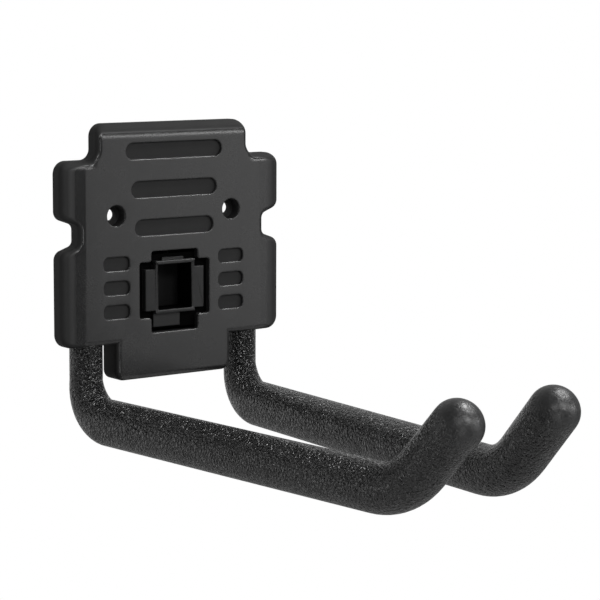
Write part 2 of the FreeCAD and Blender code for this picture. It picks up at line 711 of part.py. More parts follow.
# Steel frame: two bent rods and a flat bar between them
def draw_arm(sketch, top, with_leg, shorter):
    """The bent line of an arm in its own plane, measured from the leg's axis."""
    reach = bend_reach + (tip_length - shorter) * cosine(tip_angle)
    rise = arm_level + (tip_length - shorter) * sine(tip_angle)
    angle = math.radians(tip_angle)
    setback = front_radius * math.tan(angle / 2)
    vector = FreeCAD.Vector
    corner = vector(-float(bend_reach), float(arm_level), 0)
    leg_start = vector(0, float(top), 0)
    leg_end = vector(0, float(arm_level + elbow_radius), 0)
    elbow_centre = leg_end + vector(-float(elbow_radius), 0, 0)
    level_start = elbow_centre + vector(0, -float(elbow_radius), 0)
    level_end = corner + vector(setback, 0, 0)
    bend_centre = level_end + vector(0, float(front_radius), 0)
    along = vector(-math.cos(angle), math.sin(angle), 0)
    rise_start = corner + along * setback
    tip = vector(-float(reach), float(rise), 0)
    normal = vector(0, 0, 1)
    items = []
    if with_leg:
        items.append(Part.LineSegment(leg_start, leg_end))
        items.append(Part.ArcOfCircle(
            Part.Circle(elbow_centre, normal, float(elbow_radius)),
            math.radians(270), math.radians(360)))
    items.append(Part.LineSegment(level_start, level_end))
    items.append(Part.ArcOfCircle(
        Part.Circle(bend_centre, normal, float(front_radius)),
        math.radians(270) - angle, math.radians(270)))
    items.append(Part.LineSegment(rise_start, tip))
    numbers = [sketch.addGeometry(item) for item in items]
    rule = Sketcher.Constraint
    if with_leg:
        leg, elbow = numbers[0], numbers[1]
        place_point(sketch, leg, 1, 0.0, top)
        sketch.addConstraint(rule("Vertical", leg))
        sketch.addConstraint(rule("Tangent", leg, 2, elbow, 2))
        sketch.addConstraint(rule("Tangent", elbow, 1, numbers[2], 1))
        held = sketch.addConstraint(rule("Radius", elbow, float(elbow_radius)))
        bind(sketch, "Constraints[%d]" % held, elbow_radius)
    level, bend, last = numbers[-3:]
    if with_leg:
        held = sketch.addConstraint(rule("DistanceY", -1, 1, level, 1, float(arm_level)))
        bind(sketch, "Constraints[%d]" % held, arm_level)
    else:
        place_point(sketch, level, 1, -elbow_radius, arm_level)
    sketch.addConstraint(rule("Horizontal", level))
    sketch.addConstraint(rule("Tangent", level, 2, bend, 2))
    sketch.addConstraint(rule("Tangent", bend, 1, last, 1))
    held = sketch.addConstraint(rule("Radius", bend, float(front_radius)))
    bind(sketch, "Constraints[%d]" % held, front_radius)
    place_point(sketch, last, 2, -reach, rise)
    held = sketch.addConstraint(rule("Angle", last, math.pi - angle))
    sketch.setExpression("Constraints[%d]" % held, "180 deg - %s * 1 deg" % tip_angle.text)


def pipe(body, kind, name, profile, spine, sections=()):
    feature = body.newObject("PartDesign::" + kind, name)
    feature.Profile = profile
    feature.Spine = (spine, [])
    if sections:
        feature.Sections = [(section, [""]) for section in sections]
        feature.Transformation = "Multisection"
    doc.recompute()
    return feature


frame = new_body("arm_frame")
for side, hand in ((1, "right"), (-1, "left")):
    spine = turned_sketch(frame, "rod_line_" + hand, "YZ_Plane",
                          (-leg_setback, 0.0, arm_half * side), side)
    draw_arm(spine, rod_top, True, tip_cover)
    profile = new_sketch(frame, "rod_round_" + hand, "XY_Plane", rod_top)
    draw_circle(profile, arm_half * side, -leg_setback, rod_size / 2)
    pipe(frame, "AdditivePipe", "rod_" + hand, profile, spine)
    if side == 1:
        sketch = new_sketch(frame, "crossbar_sketch", "XZ_Plane",
                            leg_setback - crossbar_depth / 2)
        draw_box(sketch, -arm_half, arm_half, crossbar_level - crossbar_height / 2,
                 crossbar_level + crossbar_height / 2)
        pad(frame, "crossbar", sketch, crossbar_depth)


# Grips: thin on the legs, full size from the elbow to the round tips
def make_grip(label, side):
    grip = new_body(label)
    entry = wing_bottom + grip_entry
    elbow_top = arm_level + elbow_radius
    leg_place = (-leg_setback, 0.0, arm_half * side)
    sketch = new_sketch(grip, "leg_round", "XY_Plane", entry)
    draw_circle(sketch, arm_half * side, -leg_setback, leg_grip / 2)
    pad(grip, "leg", sketch, entry - elbow_top, True)
    start = new_sketch(grip, "elbow_start", "XY_Plane", elbow_top)
    draw_circle(start, arm_half * side, -leg_setback, leg_grip / 2)
    stop_place = ((arm_half - elbow_radius * sine(toe_in)) * side, arm_level,
                  leg_setback + elbow_radius * cosine(toe_in))
    stop = turned_sketch(grip, "elbow_stop", "XZ_Plane", stop_place, side)
    draw_circle(stop, 0.0, 0.0, arm_grip / 2)
    turn = turned_sketch(grip, "elbow_line", "YZ_Plane", leg_place, side)
    radius = float(elbow_radius)
    arc = turn.addGeometry(Part.ArcOfCircle(
        Part.Circle(FreeCAD.Vector(-radius, float(elbow_top), 0),
                    FreeCAD.Vector(0, 0, 1), radius),
        math.radians(270), math.radians(360)))
    place_point(turn, arc, 3, -elbow_radius, elbow_top)
    place_point(turn, arc, 2, 0.0, elbow_top)
    turn.addConstraint(Sketcher.Constraint("Vertical", arc, 1, arc, 3))
    pipe(grip, "AdditivePipe", "elbow", start, turn, [stop])
    line = turned_sketch(grip, "arm_line", "YZ_Plane", leg_place, side)
    draw_arm(line, entry, False, 0.0)
    pipe(grip, "AdditivePipe", "arm", stop, line)
    reach = bend_reach + tip_length * cosine(tip_angle)
    rise = arm_level + tip_length * sine(tip_angle)
    tip = FreeCAD.Vector(side * float(arm_half - reach * sine(toe_in)),
                         -float(leg_setback + reach * cosine(toe_in)), float(rise))
    round_edges(grip, "tip_round", tip_round, lambda edge: all(
        (vertex.Point - tip).Length < float(arm_grip) for vertex in edge.Vertexes)
        and edge.Closed)
    bore_line = turned_sketch(grip, "bore_line", "YZ_Plane", leg_place, side)
    draw_arm(bore_line, entry, True, tip_cover - running_gap)
    bore = new_sketch(grip, "bore_round", "XY_Plane", entry)
    draw_circle(bore, arm_half * side, -leg_setback, rod_size / 2 + snug)
    before = grip.Shape.Volume
    pipe(grip, "SubtractivePipe", "bore", bore, bore_line)
    if grip.Shape.Volume > before - CLOSE:
        raise RuntimeError("the bore cuts nothing")
    return grip


right_grip = make_grip("right_grip", 1)
left_grip = make_grip("left_grip", -1)


# Clamps hold the rods in their saddles
def make_clamp(label, side):
    clamp = new_body(label)
    low = clamp_level - clamp_height / 2
    across = arm_half * side
    bow = rod_size / 2 + snug
    sketch = new_sketch(clamp, "ear_sketch", "XY_Plane", low)
    draw_box(sketch, across - clamp_reach - clamp_ear, across + clamp_reach + clamp_ear,
             -leg_setback, -clamp_back)
    pad(clamp, "ears", sketch, clamp_height)
    sketch = new_sketch(clamp, "bow_sketch", "XY_Plane", low)
    draw_circle(sketch, across, -leg_setback, bow + clamp_thick)
    pad(clamp, "bow", sketch, clamp_height)
    sketch = new_sketch(clamp, "bed_sketch", "XY_Plane", low)
    draw_circle(sketch, across, -leg_setback, bow)
    pocket(clamp, "bed", sketch, clamp_height, True)
    sketch = new_sketch(clamp, "open_sketch", "XY_Plane", low)
    draw_box(sketch, across - clamp_reach, across + clamp_reach,
             -plate_front, -leg_setback)
    pocket(clamp, "open_front", sketch, clamp_height, True)
    sketch = new_sketch(clamp, "hole_sketch", "XZ_Plane", leg_setback)
    for reach in (clamp_reach, -clamp_reach):
        draw_circle(sketch, across + reach, clamp_level, pilot_size / 2 + snug)
    pocket(clamp, "holes", sketch, clamp_thick)
    return clamp


right_clamp = make_clamp("right_clamp", 1)
left_clamp = make_clamp("left_clamp", -1)

# Lock: a collar with a finger opening that slides upwards in the window
lock = new_body("lock_slider")
sketch = new_sketch(lock, "collar_sketch", "XZ_Plane", chamber_back + running_gap)
draw_box(sketch, -collar_half, collar_half, collar_low, collar_top)
pad(lock, "collar", sketch, lock_front - chamber_back - running_gap)
sketch = new_sketch(lock, "cheek_sketch", "XZ_Plane", flange_back)
draw_box(sketch, -cheek_half, cheek_half, cheek_low, cheek_top)
pad(lock, "cheeks", sketch, plate_front - flange_back)
sketch = new_sketch(lock, "flange_sketch", "XZ_Plane", flange_back)
draw_box(sketch, -flange_half, flange_half, flange_low, flange_top)
pad(lock, "flange", sketch, flange_thick)
sketch = new_sketch(lock, "tab_sketch", "XZ_Plane", flange_back)
draw_box(sketch, tab_offset - tab_half, tab_offset + tab_half,
         collar_low - tab_height, collar_low)
pad(lock, "tab", sketch, tab_front - flange_back)
sketch = new_sketch(lock, "crest_sketch", "XZ_Plane", flange_back)
draw_box(sketch, -nose_half, nose_half, collar_top, crest_top)
pad(lock, "crest", sketch, tab_front - flange_back)
sketch = new_sketch(lock, "nose_sketch", "XZ_Plane", nose_reach)
draw_box(sketch, -nose_half, nose_half, nose_low, nose_low + nose_height)
pad(lock, "nose", sketch, flange_back - nose_reach)


def on_lock_front(edge):
    """True for the outer edges of the collar's front face."""
    return all(abs(vertex.Point.y + float(lock_front)) < 0.01 for vertex in edge.Vertexes)


round_edges(lock, "round_lock", lock_round, on_lock_front)
sketch = new_sketch(lock, "finger_sketch", "XZ_Plane", lock_front)
draw_box(sketch, -finger_half, finger_half, finger_low, finger_top)
pocket(lock, "finger", sketch, lock_front)

# Keeper: closes the lock chamber from behind
keeper = new_body("lock_keeper")
sketch = new_sketch(keeper, "keeper_sketch", "XZ_Plane", keeper_back)
draw_box(sketch, -keeper_half, keeper_half, keeper_low, keeper_top)
pad(keeper, "keeper_pad", sketch, keeper_thick)
sketch = new_sketch(keeper, "nose_slot_sketch", "XZ_Plane", chamber_back)
draw_box(sketch, -nose_half - running_gap, nose_half + running_gap,
         nose_low - running_gap, nose_low + nose_height + travel + running_gap)
pocket(keeper, "nose_slot", sketch, keeper_thick)
sketch = new_sketch(keeper, "keeper_hole_sketch", "XZ_Plane", chamber_back)
for across in (keeper_screw, -keeper_screw):
    for up in (keeper_top - screw_inset, keeper_low + screw_inset):
        draw_circle(sketch, across, up, pilot_size / 2 + snug)
pocket(keeper, "keeper_holes", sketch, keeper_thick)

# Spring between the lock and the top of its chamber
spring_length = chamber_top - collar_top
spring_rise = spring_length - spring_wire
coil = doc.addObject("Part::Helix", "spring_line")
bind(coil, "Radius", (spring_size - spring_wire) / 2)
bind(coil, "Height", spring_rise)
bind(coil, "Pitch", spring_rise / spring_turns)
section = doc.addObject("Part::RegularPolygon", "wire_section")
section.Polygon = 8
bind(section, "Circumradius", spring_wire / 2)
section.Placement.Rotation = FreeCAD.Rotation(FreeCAD.Vector(1, 0, 0), 90)
bind(section, "Placement.Base.x", (spring_size - spring_wire) / 2)
spring = doc.addObject("Part::Sweep", "lock_spring")
spring.Label = "lock_spring"
spring.Sections = [section]
spring.Spine = (coil, [])
spring.Solid = True
spring.Frenet = True
bind(spring, "Placement.Base.y", -(chamber_back + flange_back) / 2)
bind(spring, "Placement.Base.z", collar_top + spring_wire / 2)


def cylinder(name, radius, height, across, depth, up):
    """A cylinder that runs to the front from a depth behind the plate."""
    item = doc.addObject("Part::Cylinder", name)
    bind(item, "Radius", radius)
    bind(item, "Height", height)
    item.Placement.Rotation = FreeCAD.Rotation(FreeCAD.Vector(1, 0, 0), 90)
    bind(item, "Placement.Base.x", across)
    bind(item, "Placement.Base.y", -depth)
    bind(item, "Placement.Base.z", up)
    return item


def screw_group(label, seat, spots):
    """Small screws whose heads stand on a seat behind the plate."""
    screws = []
    for across, up in spots:
        head = cylinder("head", screw_head / 2, screw_head_thick, across,
                        seat - screw_head_thick, up)
        shank = cylinder("shank", pilot_size / 2 - snug / 2, screw_length, across,
                         seat, up)
        screw = doc.addObject("Part::MultiFuse", "screw")
        screw.Shapes = [head, shank]
        screws.append(screw)
    group = doc.addObject("Part::Compound", label)
    group.Label = label
    group.Links = screws
    return group


keeper_screws = screw_group("keeper_screws", keeper_back, [
    (across, up) for across in (keeper_screw, -keeper_screw)
    for up in (keeper_top - screw_inset, keeper_low + screw_inset)])
clamp_screws = screw_group("clamp_screws", clamp_back, [
    ((arm_half + reach) * side, clamp_level)
    for side in (1, -1) for reach in (clamp_reach, -clamp_reach)])

doc.recompute()

nodes = [plate, frame, right_grip, left_grip, right_clamp, left_clamp, lock,
         keeper, spring, keeper_screws, clamp_screws]
for item in doc.Objects:
    if "Invalid" in item.State or "Error" in item.State:
        raise RuntimeError("%s failed: %s" % (item.Name, item.State))
for node in nodes:
    shape = node.Shape
    if shape.isNull() or not shape.isValid() or not shape.Solids:
        raise RuntimeError(node.Label + " has no valid shape")
    print("%-14s solids %d  volume %.0f" % (node.Label, len(shape.Solids), shape.Volume))
    shape.exportStep("parts/%s.step" % node.Label)
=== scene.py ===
import math

import bmesh
import bpy
from mathutils import Matrix, Vector


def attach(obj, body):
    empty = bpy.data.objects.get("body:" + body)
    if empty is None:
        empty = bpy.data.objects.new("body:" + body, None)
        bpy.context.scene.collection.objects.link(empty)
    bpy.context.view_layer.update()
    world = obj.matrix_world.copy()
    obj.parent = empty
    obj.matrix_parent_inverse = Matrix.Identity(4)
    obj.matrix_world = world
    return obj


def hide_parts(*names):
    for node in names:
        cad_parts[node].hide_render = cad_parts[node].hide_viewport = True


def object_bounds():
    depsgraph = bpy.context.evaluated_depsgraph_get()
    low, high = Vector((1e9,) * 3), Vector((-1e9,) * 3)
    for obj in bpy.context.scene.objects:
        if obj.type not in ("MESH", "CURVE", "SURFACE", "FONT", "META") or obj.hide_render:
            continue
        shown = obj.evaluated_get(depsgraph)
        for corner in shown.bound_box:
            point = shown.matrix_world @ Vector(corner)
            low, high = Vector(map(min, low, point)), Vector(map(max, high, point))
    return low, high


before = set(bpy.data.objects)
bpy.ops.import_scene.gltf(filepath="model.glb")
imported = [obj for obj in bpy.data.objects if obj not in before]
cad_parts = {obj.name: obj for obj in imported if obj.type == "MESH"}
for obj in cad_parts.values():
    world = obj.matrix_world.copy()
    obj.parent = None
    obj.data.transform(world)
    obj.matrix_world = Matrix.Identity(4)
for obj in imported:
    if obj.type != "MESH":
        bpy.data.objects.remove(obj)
cad_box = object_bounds()

MM = 0.001

# Camera, worked out from the photograph in the object's own frame
AZIMUTH = -37.10
ELEVATION = 7.70
ROLL = 0.24
DISTANCE = 1.0
FOCAL_PIXELS = 2238.4
FRAME_PIXELS = 600.0
SENSOR = 36.0
FAR_CLIP = 50.0
TARGET = Vector((18.8, -90.0, -34.7)) * MM

# Cover plate in mm: its front, its rim, and the edges that fall back at the top
PLATE_FRONT = 18.0
RIM_LEVEL = 10.0
HEAD_TOP = 42.1
HEAD_SLOPE = 7.4
HEAD_FALL = 3.3
HEAD_HALF = 41.8
SHOULDER = 25.7
SHOULDER_SLOPE = 4.4
SHOULDER_FALL = 2.0
CORNER = 5.0
SLICE = 0.55

# Flat bands at the sides of the wings, where the source has an arc, in mm
BAND_START = 48.3
BAND_WIDTH = 12.5
BAND_RADIUS = 62.0
FIRST_CUT = 1.2

# Rounded lips of the slots, the window and the recesses, in mm
LIP_ROUND = 0.45
LIP_SEGMENTS = 3
LIP_ANGLE = math.radians(70.0)
FACING_FRONT = 0.99
ON_THE_FRONT = 0.01
SHORTEST_EDGE = 1e-6

# Lock in mm: the opening's ends, its edges, and where its painted dark shade begins
OPENING_TOP = -23.9
OPENING_LOW = -45.2
CUT_INSIDE = 0.15
FLAT_INSIDE = 0.1
LOCK_ROUND = 0.3
LOCK_SEGMENTS = 2
LOCK_ANGLE = math.radians(60.0)
LOCK_DEEP = 15.6
SMALLEST_FACE = 1e-9

# Meshes made from the CAD nodes
WELD = 1e-6
CUT_TOLERANCE = 1e-7
CREASE = math.radians(28.0)
EVEN_WEIGHT = 80

# Finishes: how light each colour is, and the depth of the slots' floors, behind which the
# plate's colour is painted darker as shade
PLATE_LEVEL = 0.013
GRIP_LEVEL = 0.012
COAT_LEVEL = 0.03
SPRING_LEVEL = 0.55
ZINC_LEVEL = 0.5
SLOT_FLOOR = 17.2 * MM
PLATE_GRAIN = 2600.0
LOCK_GRAIN = 3200.0
EDGE_RADIUS = 0.7 * MM
TIP_ANGLE = math.radians(46.9)
DOME_START = 18.0 * MM
DOME_END = 4.0 * MM
DOME_GRAIN = 0.06

# Stage and lamps in metres and watts
FLOOR_DROP = 0.5
FLOOR_HALF = 6.0
FLOOR_TONE = 0.6
WORLD_LIGHT = 0.08
LAMP_AIM = Vector((0.0, -0.09, -0.03))
LAMPS = [
    ("soft box at the right", (1.02, -1.22, -0.07), 1.8, 0.70, 0.60),
    ("strip at the right", (0.98, -1.16, 0.42), 4.5, 0.8, 0.16),
    ("fill at the right", (1.5, -0.6, 0.3), 0.5, 0.6, 0.9),
    ("key in front", (0.27, -1.45, 0.85), 9.0, 0.36, 0.36),
    ("soft box above", (0.75, -0.3, 1.1), 13.0, 0.55, 0.35),
    ("fill in front", (-0.75, -1.3, 0.75), 3.5, 0.3, 0.3),
    ("strip at the left", (-1.5, 0.0, 0.1), 3.0, 0.2, 1.2),
    ("low strip in front", (-0.4, -1.3, -0.17), 1.3, 0.18, 0.4),
]


def make_camera():
    """A camera at the photograph's angle, turned a little about its own axis."""
    azimuth = math.radians(AZIMUTH)
    elevation = math.radians(ELEVATION)
    back = Vector((math.sin(azimuth) * math.cos(elevation),
                   -math.cos(azimuth) * math.cos(elevation), math.sin(elevation)))
    right = Vector((math.cos(azimuth), math.sin(azimuth), 0.0))
    up = back.cross(right)
    turn = Matrix.Rotation(math.radians(ROLL), 3, back)
    right = turn @ right
    up = turn @ up
    data = bpy.data.cameras.new("camera")
    data.sensor_width = SENSOR
    data.lens = FOCAL_PIXELS / FRAME_PIXELS * SENSOR
    data.clip_end = FAR_CLIP
    camera = bpy.data.objects.new("camera", data)
    place = Matrix((right, up, back)).transposed().to_4x4()
    place.translation = TARGET + back * DISTANCE
    camera.matrix_world = place
    bpy.context.scene.collection.objects.link(camera)
    bpy.context.scene.camera = camera


class Nodes:
    """A short way to write a material's node tree."""

    def __init__(self, name):
        self.material = bpy.data.materials.new(name)
        self.material.use_nodes = True
        self.tree = self.material.node_tree
        self.shader = self.tree.nodes["Principled BSDF"]
        self.position = self.add("ShaderNodeNewGeometry").outputs["Position"]

    def add(self, kind, **inputs):
        node = self.tree.nodes.new(kind)
        for name, value in inputs.items():
            self.feed(node.inputs[name], value)
        return node

    def feed(self, socket, value):
        if isinstance(value, bpy.types.NodeSocket):
            self.tree.links.new(value, socket)
        else:
            socket.default_value = value

    def surface(self, colour, roughness):
        self.feed(self.shader.inputs["Base Color"], colour)
        self.feed(self.shader.inputs["Roughness"], roughness)

    def math(self, kind, first, second):
        node = self.add("ShaderNodeMath")
        node.operation = kind
        self.feed(node.inputs[0], first)
        self.feed(node.inputs[1], second)
        return node.outputs[0]

    def blend(self, first, first_share, second, second_share):
        """The sum of two values, each with its share."""
        return self.math("ADD", self.math("MULTIPLY", first, first_share),
                         self.math("MULTIPLY", second, second_share))

    def ramp(self, value, low, high, start=0.0, stop=1.0):
        """Map a value from low..high to start..stop, held at the ends."""
        node = self.add("ShaderNodeMapRange")
        self.feed(node.inputs["Value"], value)
        node.inputs["From Min"].default_value = low
        node.inputs["From Max"].default_value = high
        node.inputs["To Min"].default_value = start
        node.inputs["To Max"].default_value = stop
        return node.outputs["Result"]

    def spread(self, value, start=0.0, stop=1.0):
        """Map the middle range of a noise to start..stop."""
        return self.ramp(value, 0.3, 0.7, start, stop)

    def mix(self, factor, first, second):
        node = self.add("ShaderNodeMix")
        node.data_type = "RGBA"
        self.feed(node.inputs["Factor"], factor)
        self.feed(node.inputs["A"], first)
        self.feed(node.inputs["B"], second)
        return node.outputs["Result"]

    def noise(self, scale, detail=3.0, roughness=0.5, output="Fac"):
        node = self.add("ShaderNodeTexNoise", Scale=scale, Detail=detail,
                        Roughness=roughness, Vector=self.position)
        return node.outputs[output]

    def wrinkles(self, scale, vector):
        """How far a point is from the nearest crack between two cells."""
        node = self.add("ShaderNodeTexVoronoi", Scale=scale, Vector=vector)
        node.feature = "DISTANCE_TO_EDGE"
        return node.outputs["Distance"]

    def soft_edge(self, radius):
        node = self.add("ShaderNodeBevel", Radius=radius)
        node.samples = 6
        return node.outputs["Normal"]

    def bump(self, height, strength, distance, normal=None):
        node = self.add("ShaderNodeBump", Strength=strength, Distance=distance,
                        Height=height)
        if normal is not None:
            self.feed(node.inputs["Normal"], normal)
        self.feed(self.shader.inputs["Normal"], node.outputs["Normal"])


def grey(level):
    return (level, level * 1.005, level * 1.02, 1.0)


def moulded_plastic(name, level, grain_scale, floor_depth=None, rougher=0.0, specular=0.5):
    """Satin black plastic with a fine spark-eroded grain and softened edges.

    What lies deeper than floor_depth is painted darker, as shade in the slots and recesses,
    and is duller.
    """
    nodes = Nodes(name)
    grain = nodes.noise(grain_scale, 4.0, 0.62)
    cloud = nodes.noise(55.0, 4.0, 0.6)
    colour = nodes.mix(nodes.spread(cloud), grey(level * 0.8), grey(level * 1.25))
    roughness = nodes.spread(nodes.blend(grain, 0.5, cloud, 0.5),
                             0.22 + rougher, 0.30 + rougher)
    if floor_depth is not None:
        split = nodes.add("ShaderNodeSeparateXYZ", Vector=nodes.position)
        # painted shade: deeper than floor_depth the colour turns darker, as shade on the
        # slots' floors and in the recesses
        painted_depth_shade = nodes.ramp(split.outputs["Y"], -floor_depth - 0.3 * MM, -floor_depth + 0.1 * MM)
        colour = nodes.mix(painted_depth_shade, colour, grey(level * 0.4))
        roughness = nodes.math("ADD", roughness, nodes.math("MULTIPLY", painted_depth_shade, 0.55))
    nodes.surface(colour, roughness)
    nodes.bump(grain, 0.16, 0.1 * MM, nodes.soft_edge(EDGE_RADIUS))
    nodes.shader.inputs["Specular IOR Level"].default_value = specular
    return nodes.material


def leathery_skin(name, level, node):
    """Black grip skin with a wrinkled grain that fades out on the domed tip, with painted
    shade in the grain's cracks and a lighter painted sheen on the dome.
    """
    nodes = Nodes(name)
    way = Vector((0.0, -math.cos(TIP_ANGLE), math.sin(TIP_ANGLE)))
    end = max(way.dot(vertex.co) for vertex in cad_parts[node].data.vertices)
    along = nodes.add("ShaderNodeVectorMath")
    along.operation = "DOT_PRODUCT"
    nodes.feed(along.inputs[0], nodes.position)
    along.inputs[1].default_value = way
    grainy = nodes.ramp(along.outputs["Value"], end - DOME_START, end - DOME_END,
                        1.0, DOME_GRAIN)
    shift = nodes.add("ShaderNodeVectorMath")
    shift.operation = "MULTIPLY_ADD"
    nodes.feed(shift.inputs[0], nodes.noise(420.0, 2.0, output="Color"))
    shift.inputs[1].default_value = (1.6 * MM, 1.6 * MM, 1.6 * MM)
    nodes.feed(shift.inputs[2], nodes.position)
    crest = nodes.ramp(nodes.wrinkles(560.0, shift.outputs[0]), 0.0, 0.4)
    grain = nodes.noise(680.0, 1.5)
    lump = nodes.noise(230.0, 3.0, 0.6)
    height = nodes.math("ADD", nodes.blend(crest, 0.55, grain, 0.9),
                        nodes.math("MULTIPLY", lump, 0.6))
    # painted shade: the cracks between the wrinkles are darker, the crests lighter
    colour = nodes.mix(crest, grey(level * 0.3), grey(level * 1.6))
    # painted sheen: the smooth domed tip is a plain lighter grey
    colour = nodes.mix(grainy, grey(level * 1.9), colour)
    roughness = nodes.math("ADD", nodes.spread(grain, 0.12, 0.3),
                           nodes.ramp(grainy, DOME_GRAIN, 1.0, 0.19, 0.0))
    nodes.surface(colour, roughness)
    nodes.bump(nodes.math("MULTIPLY", height, grainy), 1.0, 1.3 * MM)
    return nodes.material


def coated_steel(name, level):
    """Black powder coat with a slight orange peel."""
    nodes = Nodes(name)
    orange_peel = nodes.noise(700.0, 2.0)
    colour = nodes.mix(nodes.noise(60.0), grey(level * 0.85), grey(level * 1.2))
    nodes.surface(colour, nodes.spread(orange_peel, 0.32, 0.42))
    nodes.bump(orange_peel, 0.25, 0.1 * MM)
    return nodes.material


def bright_steel(name, level, roughness):
    """Bare or plated steel, a little streaky."""
    nodes = Nodes(name)
    streak = nodes.noise(900.0, 3.0, 0.6)
    colour = nodes.mix(streak, grey(level * 0.85), grey(level * 1.1))
    nodes.surface(colour, nodes.spread(streak, roughness, roughness + 0.12))
    nodes.shader.inputs["Metallic"].default_value = 1.0
    return nodes.material


def dress(piece, *materials):
    """Give a piece or a CAD node its finishes, in the order of its slots."""
    mesh = piece.data
    while len(mesh.materials) < len(materials):
        mesh.materials.append(None)
    for slot in range(len(mesh.materials)):
        mesh.materials[slot] = materials[min(slot, len(materials) - 1)]


def dress_all(cover, lock):
    slider = moulded_plastic("lock plastic", PLATE_LEVEL * 0.95, LOCK_GRAIN,
                             rougher=0.18, specular=0.3)
    # painted shade: the keeper, deep inside the plate, is a darker copy of the same plastic
    keeper = moulded_plastic("keeper plastic", PLATE_LEVEL * 0.4, LOCK_GRAIN,
                             rougher=0.4, specular=0.1)
    # painted shade: a near-black copy of the plastic for the lock's faces deep in its opening
    painted_depth_shade = moulded_plastic("deep lock plastic", PLATE_LEVEL * 0.1, LOCK_GRAIN,
                           rougher=0.5, specular=0.02)
    coat = coated_steel("black powder coat", COAT_LEVEL)
    zinc = bright_steel("zinc plate", ZINC_LEVEL, 0.32)
    dress(cover, moulded_plastic("plate plastic", PLATE_LEVEL, PLATE_GRAIN, SLOT_FLOOR))
    dress(lock, slider, painted_depth_shade)
    finishes = {
        "lock_keeper": keeper,
        "left_grip": leathery_skin("left grip skin", GRIP_LEVEL, "left_grip"),
        "right_grip": leathery_skin("right grip skin", GRIP_LEVEL, "right_grip"),
        "arm_frame": coat,
        "left_clamp": coat,
        "right_clamp": coat,
        "lock_spring": bright_steel("spring wire", SPRING_LEVEL, 0.25),
        "keeper_screws": zinc,
        "clamp_screws": zinc,
    }
    for node, material in finishes.items():
        dress(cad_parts[node], material)


def read_node(node):
    """The mesh of a CAD node, with the vertices of its faces joined."""
    shape = bmesh.new()
    shape.from_mesh(node.data)
    bmesh.ops.remove_doubles(shape, verts=shape.verts, dist=WELD)
    return shape


def cut_through(shape, place, way):
    """Cut every face at a plane, without taking anything away."""
    bmesh.ops.bisect_plane(
        shape, geom=shape.verts[:] + shape.edges[:] + shape.faces[:],
        dist=CUT_TOLERANCE, plane_co=place, plane_no=way)


def round_edges(shape, edges, radius, segments):
    bmesh.ops.bevel(shape, geom=edges, offset=radius * MM, offset_type="OFFSET",
                    segments=segments, profile=0.5, affect="EDGES", clamp_overlap=False)


def rise_share(level, top, slope):
    """0 where a slope below a top edge begins, 1 at the edge."""
    return min(max((level - top + slope) / slope, 0.0), 1.0)


def arc_depth(across):
    return BAND_RADIUS - math.sqrt(BAND_RADIUS ** 2 - across ** 2)


def fall_back(x, y, z):
    """How far the cover's front falls back near its top and side edges, in mm."""
    share = min(max((-y - RIM_LEVEL) / (PLATE_FRONT - RIM_LEVEL), 0.0), 1.0)
    drop = HEAD_FALL * rise_share(z, HEAD_TOP, HEAD_SLOPE) ** 2
    beside = min(max((abs(x) - HEAD_HALF) / CORNER, 0.0), 1.0)
    blend = beside * beside * (3.0 - 2.0 * beside)
    drop = max(drop, SHOULDER_FALL * rise_share(z, SHOULDER, SHOULDER_SLOPE) ** 2 * blend)
    into_band = abs(x) - BAND_START
    if into_band > 0.0:
        flat = arc_depth(BAND_WIDTH) * min(into_band / BAND_WIDTH, 1.0)
        drop += flat - arc_depth(into_band)
    return drop * share


def round_lips(shape):
    """Round the front edges of the slots, the window and the screw recesses."""
    picked = []
    for edge in shape.edges:
        if len(edge.link_faces) != 2 or edge.calc_length() < SHORTEST_EDGE:
            continue
        if any(abs(vertex.co.y / MM + PLATE_FRONT) > ON_THE_FRONT for vertex in edge.verts):
            continue
        facing = [face.normal.y < -FACING_FRONT for face in edge.link_faces]
        if sum(facing) == 1 and edge.calc_face_angle(0.0) > LIP_ANGLE:
            picked.append(edge)
    round_edges(shape, picked, LIP_ROUND, LIP_SEGMENTS)


def finish_piece(shape, name, source, body):
    """Make an object of the mesh that stands for a CAD node and rides on its body."""
    for face in shape.faces:
        face.smooth = True
    for edge in shape.edges:
        edge.smooth = len(edge.link_faces) == 2 and edge.calc_face_angle(0.0) < CREASE
    mesh = bpy.data.meshes.new(name)
    shape.to_mesh(mesh)
    shape.free()
    if mesh.attributes.get("custom_normal"):
        mesh.attributes.remove(mesh.attributes["custom_normal"])
    piece = bpy.data.objects.new(name, mesh)
    piece.matrix_world = source.matrix_world
    bpy.context.scene.collection.objects.link(piece)
    evening = piece.modifiers.new("even normals", "WEIGHTED_NORMAL")
    evening.keep_sharp = True
    evening.weight = EVEN_WEIGHT
    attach(piece, body)
    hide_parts(source.name)
    return piece


def make_cover():
    """The cover plate again, with the sloping top edges that the photograph shows."""
    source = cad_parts["front_plate"]
    shape = read_node(source)
    shape.normal_update()
    round_lips(shape)
    for across in (BAND_START + FIRST_CUT, BAND_START + BAND_WIDTH / 2):
        for side in (1, -1):
            cut_through(shape, (side * across * MM, 0, 0), (1, 0, 0))
    for top, slope in ((HEAD_TOP, HEAD_SLOPE), (SHOULDER, SHOULDER_SLOPE)):
        count = int(slope / SLICE)
        for step in range(count):
            level = top - slope + slope * step / count
            cut_through(shape, (0, 0, level * MM), (0, 0, 1))
    for vertex in shape.verts:
        x, y, z = vertex.co / MM
        vertex.co.y += fall_back(x, y, z) * MM
    return finish_piece(shape, "cover_plate", source, "plate")


def outer_lock_edge(edge):
    """True for a sharp edge of the lock's front that a bevel can follow."""
    return (len(edge.link_faces) == 2
            and all(vertex.co.y / MM < FLAT_INSIDE - PLATE_FRONT for vertex in edge.verts)
            and all(face.calc_area() > SMALLEST_FACE for face in edge.link_faces)
            and edge.calc_face_angle(0.0) > LOCK_ANGLE)


